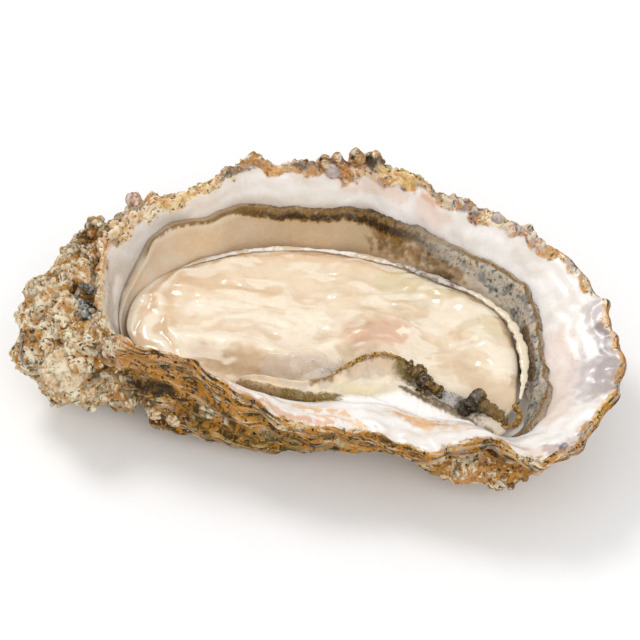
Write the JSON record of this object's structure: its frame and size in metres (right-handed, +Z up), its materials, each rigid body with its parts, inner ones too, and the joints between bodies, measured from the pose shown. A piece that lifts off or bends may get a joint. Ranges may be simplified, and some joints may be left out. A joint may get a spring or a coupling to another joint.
{
  "type": "oyster on the half shell",
  "caption": "Shucked oyster lying in its rough, cupped lower shell, with the frilled mantle round the plump body, resting on a small flat spot.",
  "frame": {"origin": "under the middle of the bounding box, on the surface that the shell rests on", "axes": "+X runs from the hinge to the growing edge and is the longest side, +Y to the tall far wall, +Z up out of the cup"},
  "size_m": [0.1126, 0.0636, 0.0313],
  "materials": {
    "shell": "chalky and rough outside, pearly inside",
    "oyster_body": "wet and soft",
    "mantle_far": "wet and soft",
    "mantle_near": "wet and soft"
  },
  "bodies": {
    "root": {"shell": "shell", "oyster_body": "oyster_body", "mantle_far": "mantle_far", "mantle_near": "mantle_near"}
  },
  "joints": []
}
